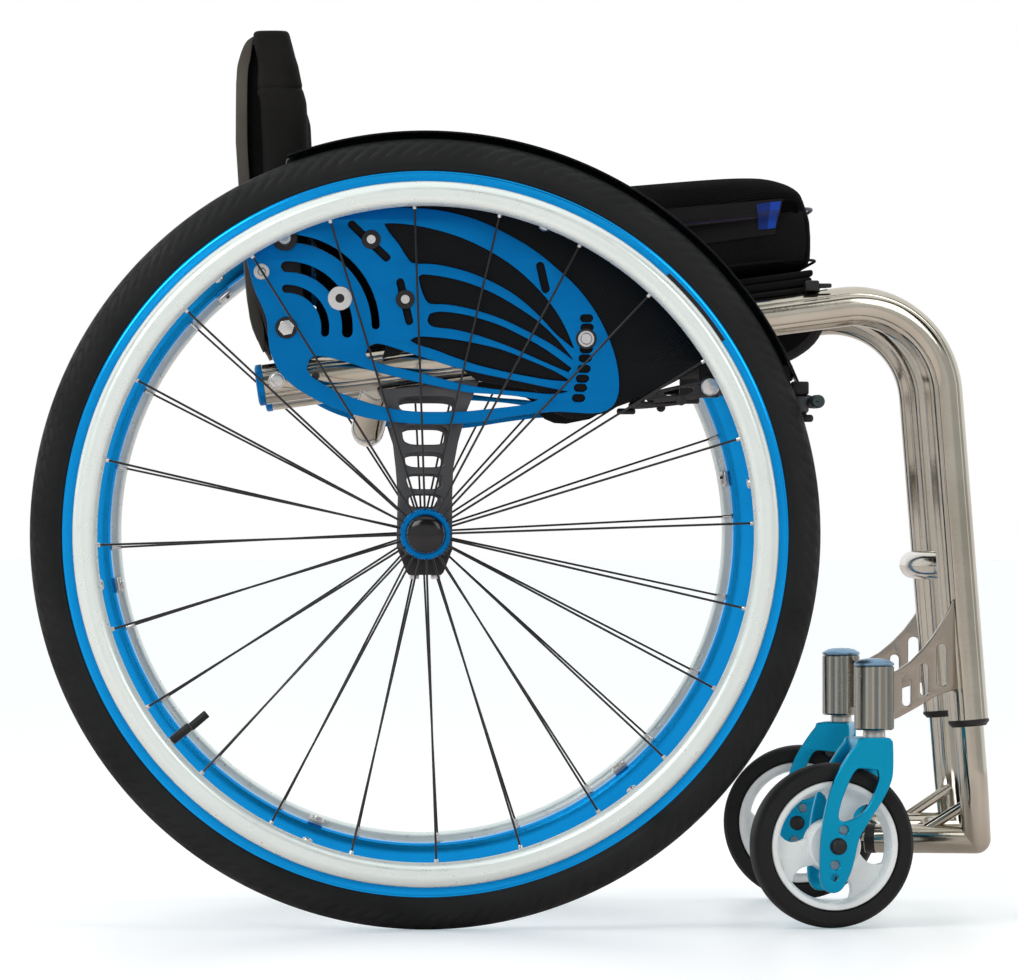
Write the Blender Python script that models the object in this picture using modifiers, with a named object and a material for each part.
"""Rigid wheelchair. X forward, Y to the chair's left, Z up, metres. The floor is z = 0.

The right side (y < 0) is modelled once and its left twin is that mesh turned over in the plane y = 0.
"""
import math

import bmesh
import bpy
from mathutils import Matrix, Vector

# Driving dimensions
GAP = 0.0003                    # between pieces that touch

WHEEL_RADIUS = 0.295            # 25-540 tyre
WHEEL_OUT = 0.031               # from the rail's outer side to the tyre's plane
AXLE_X = -0.0666
TYRE_WIDTH = 0.025
TYRE_HEIGHT = 0.0245            # from the rim's edge out to the tread
RIM_DEPTH = 0.0205
RIM_WIDTH = 0.020
HANDRIM_INSET = 0.0181          # from the rim's edge in to the middle of the handrim's tube
HANDRIM_TUBE = 0.0092
HANDRIM_OFFSET = 0.045          # from the tyre plane, outwards
TAB_COUNT = 6
SPOKE_COUNT = 24
SPOKE_RADIUS = 0.0011
HUB_FLANGE_RADIUS = 0.0190
HUB_BARREL_RADIUS = 0.0140
HUB_LENGTH = 0.046
AXLE_PIN_RADIUS = 0.00635       # 1/2 inch quick-release axle
BUTTON_RADIUS = 0.0142
BUTTON_TRAVEL = 0.004

RAIL_RADIUS = 0.015             # main tube, 30 mm
RAIL_REAR_X = -0.1875
RAIL_REAR_Z = 0.4071
RAIL_FRONT_X = 0.2516
RAIL_FRONT_Z = 0.4668
RAIL_REAR_Y = 0.1990
RAIL_BEND_X = 0.0900            # the rails run parallel up to here, then draw in
SHIN_TOP_X = 0.3275             # middle of the lower tube at the foot of the bend
SHIN_TOP_Z = 0.3900
SHIN_FOOT_X = 0.3460
SHIN_FOOT_Z = 0.1540
SHIN_Y = 0.1450
BEND_RADIUS = 0.0700

FOOT_TUBE_RADIUS = 0.0110
FOOT_FRONT_Y = 0.1280
FOOT_BACK_Y = 0.1100
FOOT_Z = 0.0625
FOOT_BACK_X = 0.2700
FOOT_TRAVEL_UP = 0.030
FOOT_TRAVEL_DOWN = 0.020

CASTER_RADIUS = 0.0620
CASTER_WIDTH = 0.028
CASTER_STEM_X = 0.2697
CASTER_STEM_Y = 0.2225
CASTER_TRAIL = 0.0327
CASTER_YAW = 10                 # degrees, as the casters stand in the photograph
HOUSING_RADIUS = 0.0150
HOUSING_TOP_Z = 0.1962
HOUSING_FOOT_Z = 0.1496
FORK_CROWN_Z = 0.1428
FORK_LEG = 0.0055
FORK_WIDTH = 0.0460

PIVOT_X = -0.1707
PIVOT_Z = 0.4495
CANE_RADIUS = 0.0095
CANE_Y = 0.1895
BACK_TOP_Z = 0.6735

PLATE_THICK = 0.0035
GUARD_THICK = 0.0016
FENDER_CLEAR = 0.0045           # from the tyre's tread

SEAT_HALF_WIDTH = 0.1700
SEAT_REAR_X = -0.1560
SEAT_FRONT_X = 0.2240
CUSHION_REAR = 0.0970            # the cushion's height at its rear end, crown and all
CUSHION_FRONT = 0.0745
CUSHION_CROWN = 0.010
POUCH_HALF_WIDTH = 0.115
SLING_THICK = 0.004
PAN_THICK = 0.012

RING_STEPS = 40                 # facets round a large ring
CASTER_STEPS = 24

# Sizes that follow
WHEEL_Y = RAIL_REAR_Y + RAIL_RADIUS + WHEEL_OUT
RIM_RADIUS = WHEEL_RADIUS - TYRE_HEIGHT
HANDRIM_RADIUS = RIM_RADIUS - HANDRIM_INSET
GUARD_Y = RAIL_REAR_Y + RAIL_RADIUS + GAP       # inner face of the carbon guard
PLATE_Y = GUARD_Y + GUARD_THICK + GAP           # inner face of the blue side plate
RAIL_SLOPE = (RAIL_FRONT_Z - RAIL_REAR_Z) / (RAIL_FRONT_X - RAIL_REAR_X)
SHIN_LEAN = (SHIN_FOOT_X - SHIN_TOP_X) / (SHIN_TOP_Z - SHIN_FOOT_Z)
RAIL_ANGLE = math.atan(RAIL_SLOPE)
# where the rail's line and the lower tube's line would meet
CORNER_Z = ((RAIL_REAR_Z + RAIL_SLOPE * (SHIN_FOOT_X + SHIN_LEAN * SHIN_FOOT_Z - RAIL_REAR_X))
            / (1 + RAIL_SLOPE * SHIN_LEAN))
CORNER_X = SHIN_FOOT_X - SHIN_LEAN * (CORNER_Z - SHIN_FOOT_Z)


def rail_z(x):
    """Height of the seat rail's middle line at x."""
    return RAIL_REAR_Z + RAIL_SLOPE * (x - RAIL_REAR_X)


def rail_y(x):
    """Distance of the seat rail's middle line from the chair's middle plane at x."""
    drawn_in = (RAIL_REAR_Y - SHIN_Y) / (CORNER_X - RAIL_BEND_X)
    return RAIL_REAR_Y - drawn_in * max(0.0, x - RAIL_BEND_X)


def shin_x(z):
    """Place of the lower tube's middle line along X at height z."""
    return SHIN_FOOT_X - SHIN_LEAN * (z - SHIN_FOOT_Z)


for old in list(bpy.data.objects):
    bpy.data.objects.remove(old, do_unlink=True)

PARTS = bpy.data.collections.new("rigid_wheelchair")
bpy.context.scene.collection.children.link(PARTS)


# Materials
def finish(name, colour, roughness, metallic=0.0):
    made = bpy.data.materials.new(name)
    made.use_nodes = True
    shader = made.node_tree.nodes["Principled BSDF"]
    shader.inputs["Base Color"].default_value = (*colour, 1.0)
    shader.inputs["Roughness"].default_value = roughness
    shader.inputs["Metallic"].default_value = metallic
    return made


NICKEL = ("nickel", (0.62, 0.58, 0.53), 0.22, 1.0)
STEEL = ("steel", (0.55, 0.55, 0.54), 0.35, 1.0)
GREY = ("grey_anodised", (0.20, 0.21, 0.22), 0.45, 0.8)
BLUE = ("blue_anodised", (0.0, 0.16, 0.52), 0.35, 0.6)
CYAN = ("cyan_anodised", (0.0, 0.38, 0.62), 0.35, 0.6)
WHITE = ("white_coat", (0.80, 0.82, 0.81), 0.35, 0.0)
BLACK = ("black_plastic", (0.02, 0.02, 0.02), 0.50, 0.0)
RUBBER = ("rubber", (0.025, 0.025, 0.027), 0.75, 0.0)
CARBON = ("carbon", (0.015, 0.016, 0.018), 0.35, 0.0)
FABRIC = ("black_fabric", (0.02, 0.02, 0.022), 0.90, 0.0)
BROWN = ("dark_fabric", (0.06, 0.05, 0.045), 0.85, 0.0)


# Helpers
def mesh_object(name, mesh, look=None):
    made = bpy.data.objects.new(name, mesh)
    PARTS.objects.link(made)
    if look:
        mesh.materials.clear()
        mesh.materials.append(finish(name + "_" + look[0], *look[1:]))
    mesh.shade_smooth()
    mesh.set_sharp_from_angle(angle=math.radians(35))
    return made


def from_bmesh(name, shape, look=None):
    mesh = bpy.data.meshes.new(name)
    bmesh.ops.recalc_face_normals(shape, faces=shape.faces)
    shape.to_mesh(mesh)
    shape.free()
    return mesh_object(name, mesh, look)


def evaluated_mesh(thing):
    """The mesh of a curve, or of an object with modifiers, with its caps welded."""
    bpy.context.view_layer.update()
    graph = bpy.context.evaluated_depsgraph_get()
    mesh = bpy.data.meshes.new_from_object(thing.evaluated_get(graph))
    shape = bmesh.new()
    shape.from_mesh(mesh)
    bmesh.ops.remove_doubles(shape, verts=shape.verts, dist=0.00001)
    bmesh.ops.recalc_face_normals(shape, faces=shape.faces)
    shape.to_mesh(mesh)
    shape.free()
    return mesh


def frozen(name, thing, look=None):
    """A mesh object in place of a curve or of an object with modifiers, in world space."""
    mesh = evaluated_mesh(thing)
    mesh.transform(thing.matrix_world)
    bpy.data.objects.remove(thing, do_unlink=True)
    return mesh_object(name, mesh, look)


def combine(target, tools, operation="UNION"):
    """Boolean of the target with each tool. The tools are used up."""
    for tool in tools:
        step = target.modifiers.new("combine", "BOOLEAN")
        step.operation = operation
        step.solver = "EXACT"
        step.object = tool
        mesh = evaluated_mesh(target)
        target.modifiers.clear()
        kept = list(target.data.materials)
        mesh.materials.clear()
        for look in kept:
            mesh.materials.append(look)
        target.data = mesh
        bpy.data.objects.remove(tool, do_unlink=True)
    target.data.shade_smooth()
    target.data.set_sharp_from_angle(angle=math.radians(35))
    return target


def tube(name, points, radius, look=None, sides=2, cyclic=False, radii=None):
    """A round bar along points. sides is the curve's bevel resolution."""
    line = bpy.data.curves.new(name, "CURVE")
    line.dimensions = "3D"
    line.bevel_depth = radius
    line.bevel_resolution = sides
    line.use_fill_caps = True
    run = line.splines.new("POLY")
    run.points.add(len(points) - 1)
    for index, place in enumerate(points):
        run.points[index].co = (*place, 1.0)
        if radii:
            run.points[index].radius = radii[index]
    run.use_cyclic_u = cyclic
    thing = bpy.data.objects.new(name, line)
    PARTS.objects.link(thing)
    return frozen(name, thing, look)


def slab(name, outer, holes, y, thick, look=None):
    """A flat plate in the XZ plane from y to y - thick, outlined by (x, z) points, with holes."""
    line = bpy.data.curves.new(name, "CURVE")
    line.dimensions = "2D"
    line.fill_mode = "BOTH"
    line.extrude = thick / 2
    for loop in [outer] + list(holes):
        run = line.splines.new("POLY")
        run.points.add(len(loop) - 1)
        for index, (px, pz) in enumerate(loop):
            run.points[index].co = (px, pz, 0.0, 1.0)
        run.use_cyclic_u = True
    thing = bpy.data.objects.new(name, line)
    thing.rotation_euler = (math.pi / 2, 0, 0)
    thing.location = (0, y - thick / 2, 0)
    PARTS.objects.link(thing)
    return frozen(name, thing, look)


def turned(name, profile, centre, axis, steps=24, look=None):
    """A solid turned about an axis through centre. profile is (radius, along) pairs, closed by itself."""
    shape = bmesh.new()
    corners = [shape.verts.new((r, 0.0, along)) for r, along in profile]
    count = len(corners)
    ring = [shape.edges.new((corners[i], corners[(i + 1) % count])) for i in range(count)]
    bmesh.ops.spin(shape, geom=corners + ring, cent=(0, 0, 0), axis=(0, 0, 1),
                   angle=math.tau, steps=steps, use_merge=True, use_duplicate=False)
    bmesh.ops.remove_doubles(shape, verts=shape.verts, dist=0.00001)
    bmesh.ops.dissolve_degenerate(shape, edges=shape.edges, dist=0.00001)
    lone = [edge for edge in shape.edges if not edge.link_faces]
    bmesh.ops.delete(shape, geom=lone, context="EDGES")
    turn = Vector((0, 0, 1)).rotation_difference(Vector(axis)).to_matrix().to_4x4()
    bmesh.ops.transform(shape, matrix=Matrix.Translation(centre) @ turn, verts=shape.verts)
    return from_bmesh(name, shape, look)


def rod(name, start, end, radius, look=None, steps=12, radius_end=None):
    """A cylinder or a cone from start to end."""
    start, end = Vector(start), Vector(end)
    shape = bmesh.new()
    along = end - start
    turn = Vector((0, 0, 1)).rotation_difference(along.normalized()).to_matrix().to_4x4()
    place = Matrix.Translation((start + end) / 2) @ turn
    bmesh.ops.create_cone(shape, cap_ends=True, segments=steps, radius1=radius,
                          radius2=radius if radius_end is None else radius_end,
                          depth=along.length, matrix=place)
    return from_bmesh(name, shape, look)


def block(name, low, high, look=None, round_by=0.0, turn_y=0.0, segments=1):
    """A box between two corners, turned about Y at its middle, with rounded edges."""
    low, high = Vector(low), Vector(high)
    size = high - low
    shape = bmesh.new()
    bmesh.ops.create_cube(shape, size=1.0)
    bmesh.ops.scale(shape, vec=size, verts=shape.verts)
    if round_by:
        bmesh.ops.bevel(shape, geom=shape.edges[:], offset=round_by, segments=segments,
                        affect="EDGES", profile=0.5)
    place = Matrix.Translation((low + high) / 2) @ Matrix.Rotation(turn_y, 4, "Y")
    bmesh.ops.transform(shape, matrix=place, verts=shape.verts)
    return from_bmesh(name, shape, look)


def arc(centre, radius, start, end, steps):
    """(x, z) points round centre from angle start to end, in degrees, both ends included."""
    out = []
    for index in range(steps + 1):
        turn = math.radians(start + (end - start) * index / steps)
        out.append((centre[0] + radius * math.cos(turn), centre[1] + radius * math.sin(turn)))
    return out


def arc_slot(centre, radius, width, start, end, steps=8):
    """Outline of a slot of round ends that follows an arc."""
    half = width / 2
    out = arc(centre, radius + half, start, end, steps)
    out += arc(arc(centre, radius, end, end, 1)[0], half, end, end + 180, 3)[1:-1]
    out += arc(centre, radius - half, end, start, steps)
    out += arc(arc(centre, radius, start, start, 1)[0], half, start + 180, start + 360, 3)[1:-1]
    return out


def straight_slot(first, last, width):
    """Outline of a straight slot of round ends between two centres."""
    turn = math.degrees(math.atan2(last[1] - first[1], last[0] - first[0]))
    return arc(last, width / 2, turn - 90, turn + 90, 2) + arc(first, width / 2, turn + 90, turn + 270, 2)


def circle(centre, radius, steps=12):
    return arc(centre, radius, 0, 360, steps)[:-1]


def smooth_outline(points, times=1):
    """Corners of a hand-drawn outline cut twice over, as a french curve would round them."""
    for _ in range(times):
        cut = []
        for index, here in enumerate(points):
            after = points[(index + 1) % len(points)]
            cut.append((here[0] * 0.78 + after[0] * 0.22, here[1] * 0.78 + after[1] * 0.22))
            cut.append((here[0] * 0.22 + after[0] * 0.78, here[1] * 0.22 + after[1] * 0.78))
        points = cut
    return points


def left_twin(right):
    """The left side's copy of a right-hand piece."""
    mesh = right.data.copy()
    shape = bmesh.new()
    shape.from_mesh(mesh)
    bmesh.ops.transform(shape, matrix=Matrix.Scale(-1, 4, (0, 1, 0)), verts=shape.verts)
    bmesh.ops.reverse_faces(shape, faces=shape.faces)
    shape.to_mesh(mesh)
    shape.free()
    look = mesh.materials[0].copy()
    mesh.materials.clear()
    mesh.materials.append(look)
    return mesh_object(right.name.replace("right", "left"), mesh)


def both(right):
    return [right, left_twin(right)]


def hang(pieces, anchor_name, place):
    """Give pieces a parent empty at a joint's axis without moving them."""
    anchor = bpy.data.objects.new(anchor_name, None)
    anchor.empty_display_size = 0.03
    anchor.location = place
    PARTS.objects.link(anchor)
    for piece in pieces:
        piece.data.transform(Matrix.Translation(-Vector(place)))
        piece.parent = anchor
    return anchor


# Rear wheels
WHEEL_CENTRE = (AXLE_X, -WHEEL_Y, WHEEL_RADIUS)
OUTWARD = (0, -1, 0)
TAB_TURN = 8.9                  # degrees, of the first handrim tab
SPOKE_TURN = 1.9
RIM_BED = RIM_RADIUS - RIM_DEPTH
HUB_INNER = -0.026              # along the axle from the tyre plane
HUB_OUTER = 0.019
FLANGE_THICK = 0.004
BORE_CLEAR = 0.00035
BEARING_RADIUS = 0.0110
BEARING_WIDTH = 0.007
AXLE_REACH = 0.050              # inboard, into the axle tube
BUTTON_STEM = 0.0040
BUTTON_DOME = 0.0065


def around(angle, radius, along):
    """World point at an angle (degrees, in the side view), a radius and a distance outwards."""
    turn = math.radians(angle)
    return Vector((AXLE_X + radius * math.cos(turn), -WHEEL_Y - along,
                   WHEEL_RADIUS + radius * math.sin(turn)))


def make_tyre():
    half = TYRE_WIDTH / 2
    seat = RIM_RADIUS + GAP
    side = WHEEL_RADIUS - seat
    upper = [(seat, half * 0.76), (seat + side * 0.42, half), (seat + side * 0.82, half * 0.78)]
    profile = upper + [(WHEEL_RADIUS, 0)] + [(r, -along) for r, along in reversed(upper)]
    return turned("right_tyre", profile, WHEEL_CENTRE, OUTWARD, RING_STEPS, RUBBER)


def make_rim():
    half = RIM_WIDTH / 2
    upper = [(RIM_BED, half * 0.55), (RIM_BED + RIM_DEPTH * 0.3, half), (RIM_RADIUS, half)]
    profile = upper + [(r, -along) for r, along in reversed(upper)]
    return turned("right_rim", profile, WHEEL_CENTRE, OUTWARD, RING_STEPS, BLUE)


def make_handrim():
    """A hand-sized ring with a groove in its outer face, and the tabs that screw under the rim."""
    profile = []
    for index in range(7):
        turn = math.radians(25.7 + 51.4 * index)
        profile.append((HANDRIM_RADIUS + HANDRIM_TUBE * math.sin(turn),
                        HANDRIM_OFFSET + HANDRIM_TUBE * math.cos(turn)))
    profile.append((HANDRIM_RADIUS, HANDRIM_OFFSET + HANDRIM_TUBE * 0.78))
    ring = turned("right_handrim", profile, WHEEL_CENTRE, OUTWARD, RING_STEPS, WHITE)
    tab_top = RIM_BED * math.cos(math.pi / RING_STEPS) - 2 * GAP
    tab_thick = 0.0025
    tab_width = 0.012
    tab_inner = -0.005
    for index in range(TAB_COUNT):
        angle = TAB_TURN + index * 360 / TAB_COUNT
        shape = bmesh.new()
        bmesh.ops.create_cube(shape, size=1.0)
        bmesh.ops.scale(shape, vec=(tab_thick, HANDRIM_OFFSET - tab_inner, tab_width), verts=shape.verts)
        place = Matrix.Translation(around(angle, tab_top - tab_thick / 2,
                                          (HANDRIM_OFFSET + tab_inner) / 2))
        bmesh.ops.transform(shape, matrix=place @ Matrix.Rotation(-math.radians(angle), 4, "Y"),
                            verts=shape.verts)
        tab = from_bmesh("tab", shape)
        screw = rod("screw", around(angle, tab_top - 0.001, 0), around(angle, tab_top - 0.0050, 0),
                    0.0034, steps=6)
        combine(ring, [tab, screw])
    return ring


def make_hub():
    """Hub barrel with two flanges, bored for the axle and its bearings, and the spokes set in it."""
    bore = AXLE_PIN_RADIUS + BORE_CLEAR + 0.001
    seat = BEARING_RADIUS + GAP
    profile = [(seat, HUB_INNER), (HUB_FLANGE_RADIUS, HUB_INNER),
               (HUB_FLANGE_RADIUS, HUB_INNER + FLANGE_THICK),
               (HUB_BARREL_RADIUS, HUB_INNER + FLANGE_THICK + 0.003),
               (HUB_BARREL_RADIUS, HUB_OUTER - FLANGE_THICK - 0.003),
               (HUB_FLANGE_RADIUS, HUB_OUTER - FLANGE_THICK),
               (HUB_FLANGE_RADIUS, HUB_OUTER), (seat, HUB_OUTER),
               (seat, HUB_OUTER - BEARING_WIDTH - GAP), (bore, HUB_OUTER - BEARING_WIDTH - GAP),
               (bore, HUB_INNER + BEARING_WIDTH + GAP), (seat, HUB_INNER + BEARING_WIDTH + GAP)]
    hub = turned("right_hub_and_spokes", profile, WHEEL_CENTRE, OUTWARD, 16, BLUE)
    tip = RIM_BED * math.cos(math.pi / RING_STEPS) - GAP
    flanges = (HUB_OUTER - FLANGE_THICK / 2, HUB_INNER + FLANGE_THICK / 2)
    shape = bmesh.new()
    for index in range(SPOKE_COUNT):
        angle = SPOKE_TURN + index * 360 / SPOKE_COUNT
        start = around(angle, HUB_BARREL_RADIUS + 0.001, flanges[index % 2])
        end = around(angle, tip, 0)
        run = end - start
        turn = Vector((0, 0, 1)).rotation_difference(run.normalized()).to_matrix().to_4x4()
        bmesh.ops.create_cone(shape, cap_ends=True, segments=4, radius1=SPOKE_RADIUS,
                              radius2=SPOKE_RADIUS, depth=run.length,
                              matrix=Matrix.Translation((start + end) / 2) @ turn)
    return combine(hub, [from_bmesh("spokes", shape)])


def make_bearing():
    """The outer one of the two ball races that the hub turns on, as a closed ring."""
    inner = AXLE_PIN_RADIUS + BORE_CLEAR
    start = HUB_OUTER - BEARING_WIDTH
    profile = [(inner, start), (BEARING_RADIUS, start), (BEARING_RADIUS, HUB_OUTER), (inner, HUB_OUTER)]
    return turned("right_wheel_bearing", profile, WHEEL_CENTRE, OUTWARD, 16, STEEL)


def make_axle():
    """Quick-release axle: a hollow pin whose outer end takes the push button's stem."""
    bore = BUTTON_STEM + BORE_CLEAR
    head = HUB_OUTER + 0.0018
    profile = [(0, -AXLE_REACH), (AXLE_PIN_RADIUS, -AXLE_REACH), (AXLE_PIN_RADIUS, HUB_OUTER + GAP),
               (0.0100, HUB_OUTER + GAP), (0.0100, head), (bore, head), (bore, 0.0), (0, 0.0)]
    return turned("right_release_axle", profile, WHEEL_CENTRE, OUTWARD, 14, STEEL)


def make_button():
    """Domed push button that frees the wheel; it has room to travel in."""
    foot = HUB_OUTER + 0.0018 + BUTTON_TRAVEL + GAP
    profile = [(0, 0.0060), (BUTTON_STEM, 0.0060), (BUTTON_STEM, foot), (BUTTON_RADIUS, foot),
               (BUTTON_RADIUS, foot + 0.002), (BUTTON_RADIUS * 0.85, foot + BUTTON_DOME * 0.72),
               (BUTTON_RADIUS * 0.45, foot + BUTTON_DOME * 0.95), (0, foot + BUTTON_DOME)]
    return turned("right_release_button", profile, WHEEL_CENTRE, OUTWARD, 14, BLACK)


def make_wheels():
    spinning = [make_tyre(), make_rim(), make_handrim(), make_hub(), make_bearing()]
    twins = [left_twin(piece) for piece in spinning]
    both(make_axle())
    buttons = both(make_button())
    for word, side, pieces, button in (("right", -1, spinning, buttons[0]), ("left", 1, twins, buttons[1])):
        hub = (AXLE_X, side * WHEEL_Y, WHEEL_RADIUS)
        hang(pieces, word + "_wheel_axis", hub)
        hang([button], word + "_button_axis", hub)


make_wheels()


# Frame
def rounded_path(points, radius, steps):
    """A run of straight lines with each inner corner rounded to a radius, as a bent tube's middle line."""
    points = [Vector(p) for p in points]
    out = [points[0]]
    for before, corner, after in zip(points, points[1:], points[2:]):
        back = (before - corner).normalized()
        ahead = (after - corner).normalized()
        half = back.angle(ahead) / 2
        reach = radius / math.tan(half)
        centre = corner + (back + ahead).normalized() * (radius / math.sin(half))
        first = corner + back * reach - centre
        last = corner + ahead * reach - centre
        axis = first.cross(last).normalized()
        sweep = first.angle(last)
        for index in range(steps + 1):
            out.append(centre + Matrix.Rotation(sweep * index / steps, 3, axis) @ first)
    out.append(points[-1])
    return out


SHIN_WAY = Vector((SHIN_FOOT_X - CORNER_X, 0, SHIN_FOOT_Z - CORNER_Z)).normalized()
RING_HEIGHT = 0.0050
SLIDE_CLEAR = 0.0006
FOOT_SOCKET = 0.090             # depth of the lower tube that the footrest slides in
CAP_THICK = 0.0040
CAP_PLUG = 0.0100
RAIL_START = Vector((RAIL_REAR_X, -RAIL_REAR_Y, RAIL_REAR_Z))
RAIL_WAY = Vector((1, 0, RAIL_SLOPE)).normalized()


def make_side_tube():
    """One bent tube: seat rail, front bend and the tube down to the footrest."""
    corner = Vector((CORNER_X, -SHIN_Y, CORNER_Z))
    foot = Vector((SHIN_FOOT_X, -SHIN_Y, SHIN_FOOT_Z))
    draw_in = Vector((RAIL_BEND_X, -RAIL_REAR_Y, rail_z(RAIL_BEND_X)))
    path = rounded_path([RAIL_START, draw_in, corner], 0.20, 3)[:-1]
    path += rounded_path([path[-1], corner, foot], BEND_RADIUS, 9)[1:]
    side = tube("right_side_tube", path, RAIL_RADIUS, NICKEL, sides=2)
    socket = rod("socket", foot - SHIN_WAY * FOOT_SOCKET, foot + SHIN_WAY * 0.01,
                 FOOT_TUBE_RADIUS + SLIDE_CLEAR, steps=16)
    plug = rod("plug", RAIL_START - RAIL_WAY * 0.01, RAIL_START + RAIL_WAY * (CAP_PLUG + 0.002),
               RAIL_RADIUS - 0.003, steps=12)
    return combine(side, [socket, plug], "DIFFERENCE")


def make_rail_cap():
    """Disc with a plug that closes the rear end of the rail."""
    profile = [(0, 0), (RAIL_RADIUS * 0.8, 0), (RAIL_RADIUS, 0.0015), (RAIL_RADIUS, CAP_THICK),
               (RAIL_RADIUS - 0.0035, CAP_THICK), (RAIL_RADIUS - 0.0035, CAP_THICK + CAP_PLUG), (0, CAP_THICK + CAP_PLUG)]
    place = RAIL_START - RAIL_WAY * (CAP_THICK + GAP)
    return turned("right_rail_cap", profile, place, RAIL_WAY, 16, BLUE)


def make_sleeve_ring():
    """Plastic ring that closes the gap round the footrest's tube."""
    inner = FOOT_TUBE_RADIUS + SLIDE_CLEAR
    outer = RAIL_RADIUS + 0.0006
    profile = [(inner, 0), (outer, 0), (outer, RING_HEIGHT), (inner, RING_HEIGHT)]
    place = Vector((SHIN_FOOT_X, -SHIN_Y, SHIN_FOOT_Z)) + SHIN_WAY * (2 * GAP)
    return turned("right_sleeve_ring", profile, place, SHIN_WAY, 16, BLACK)


CROSS_RADIUS = 0.0125
SHIN_CROSS_RADIUS = 0.0105
SHIN_CROSS_ARCH = 0.022         # how far back the bar behind the calves is set
SHIN_CROSS_Z = 0.2700
SEAT_CROSS_X = -0.1010          # where the seat's cross tube leaves the rails
SEAT_CROSS_DROP = 0.0100         # of its ends below the rails' middle lines
SEAT_CROSS_BACK = 0.0090         # of its low middle stretch behind its ends
SEAT_CROSS_LOW = 0.0340          # of that stretch below its ends
SEAT_CROSS_BEND = 0.0300


def make_shin_cross():
    """Bar behind the calves, arched back between the two lower tubes."""
    start_x = shin_x(SHIN_CROSS_Z)
    side = SHIN_Y - RAIL_RADIUS - GAP
    half = [(0, side), (0, side - 0.012), (0.35, side * 0.80), (0.80, side * 0.55), (1.0, side * 0.22)]
    half = [(start_x - SHIN_CROSS_ARCH * back, y, SHIN_CROSS_Z) for back, y in half]
    path = [(x, -y, z) for x, y, z in half] + list(reversed(half))
    return tube("shin_cross_tube", path, SHIN_CROSS_RADIUS, NICKEL)


def make_seat_cross():
    """Tube under the seat from rail to rail, bent down and back between them."""
    side = RAIL_REAR_Y - RAIL_RADIUS - GAP
    x, z = SEAT_CROSS_X, rail_z(SEAT_CROSS_X) - SEAT_CROSS_DROP
    low_x, low_z = x - SEAT_CROSS_BACK, z - SEAT_CROSS_LOW
    corners = [(x, -side, z), (x, -side * 0.88, z), (low_x, -side * 0.64, low_z),
               (low_x, side * 0.64, low_z), (x, side * 0.88, z), (x, side, z)]
    return tube("seat_cross_tube", rounded_path(corners, SEAT_CROSS_BEND, 2), CROSS_RADIUS, NICKEL)


# Axle bracket and axle tube
BRACKET_Y = 0.1990              # middle of the plate
BRACKET_THICK = 0.0090
BRACKET_TOP_HALF = 0.0385
BRACKET_WAIST_HALF = 0.0215
BRACKET_WAIST_RISE = 0.0180      # of the ladder's waist above the axle
BRACKET_WAIST_Z = WHEEL_RADIUS + BRACKET_WAIST_RISE
BRACKET_LEVELS = (0.86, 0.65, 0.39, 0.18, 0)     # of the ladder's edge, from its waist up to the rail
BRACKET_BAR = 0.0065            # width of the ladder's sides and rungs
BRACKET_MIDDLE_X = -0.0640
AXLE_TUBE_RADIUS = 0.0160
CLAMP_RADIUS = 0.0205
AXLE_TUBE_GAP = 0.0010          # between the tube's end and the hub
# foot and head of each window, as shares of the way from the waist up to the rail
LADDER_WINDOWS = ((0.020, 0.115), (0.165, 0.275), (0.335, 0.445), (0.510, 0.660), (0.765, 0.885))


def bracket_half(z):
    """Half width of the ladder plate at height z."""
    top_z = rail_z(BRACKET_MIDDLE_X) - RAIL_RADIUS
    share = (z - BRACKET_WAIST_Z) / (top_z - BRACKET_WAIST_Z)
    return BRACKET_WAIST_HALF + (BRACKET_TOP_HALF - BRACKET_WAIST_HALF) * max(0, share) ** 1.7


def make_axle_bracket():
    """Ladder plate under the rail; its foot is a ring round the axle tube."""
    mid = BRACKET_MIDDLE_X
    left, right = mid - BRACKET_TOP_HALF, mid + BRACKET_TOP_HALF
    tops = [(left, rail_z(left) - RAIL_RADIUS * 1.012 - GAP), (right, rail_z(right) - RAIL_RADIUS * 1.012 - GAP)]
    climb = rail_z(mid) - RAIL_RADIUS - BRACKET_WAIST_Z
    levels = [BRACKET_WAIST_Z + climb * share for share in BRACKET_LEVELS]
    outline = [tops[0]] + [(mid - bracket_half(z), z) for z in levels]
    outline += [(AXLE_X - CLAMP_RADIUS, WHEEL_RADIUS + 0.004)]
    outline += arc((AXLE_X, WHEEL_RADIUS), CLAMP_RADIUS, 190, 350, 6)
    outline += [(AXLE_X + CLAMP_RADIUS, WHEEL_RADIUS + 0.004)]
    outline += [(mid + bracket_half(z), z) for z in reversed(levels)] + [tops[1]]
    windows = [circle((AXLE_X, WHEEL_RADIUS), AXLE_TUBE_RADIUS + 2 * GAP, 14)]
    for shares in LADDER_WINDOWS:
        foot, head = (BRACKET_WAIST_Z + climb * share for share in shares)
        a, b = bracket_half(foot) - BRACKET_BAR, bracket_half(head) - BRACKET_BAR
        window = [(mid - a, foot), (mid + a, foot), (mid + b, head), (mid - b, head)]
        windows.append(smooth_outline(window))
    return slab("right_axle_bracket", outline, windows, -BRACKET_Y + BRACKET_THICK / 2,
                BRACKET_THICK, GREY)


def make_axle_tube():
    """Tube across the chair that holds both wheel axles; its ends are bored for them."""
    reach = WHEEL_Y + HUB_INNER - AXLE_TUBE_GAP
    inner = AXLE_PIN_RADIUS + BORE_CLEAR
    blind = WHEEL_Y - AXLE_REACH - 0.002
    profile = [(0, -blind), (inner, -blind), (inner, -reach), (AXLE_TUBE_RADIUS, -reach),
               (AXLE_TUBE_RADIUS, reach), (inner, reach), (inner, blind), (0, blind)]
    return turned("axle_tube", profile, (AXLE_X, 0, WHEEL_RADIUS), OUTWARD, 14, NICKEL)


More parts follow.
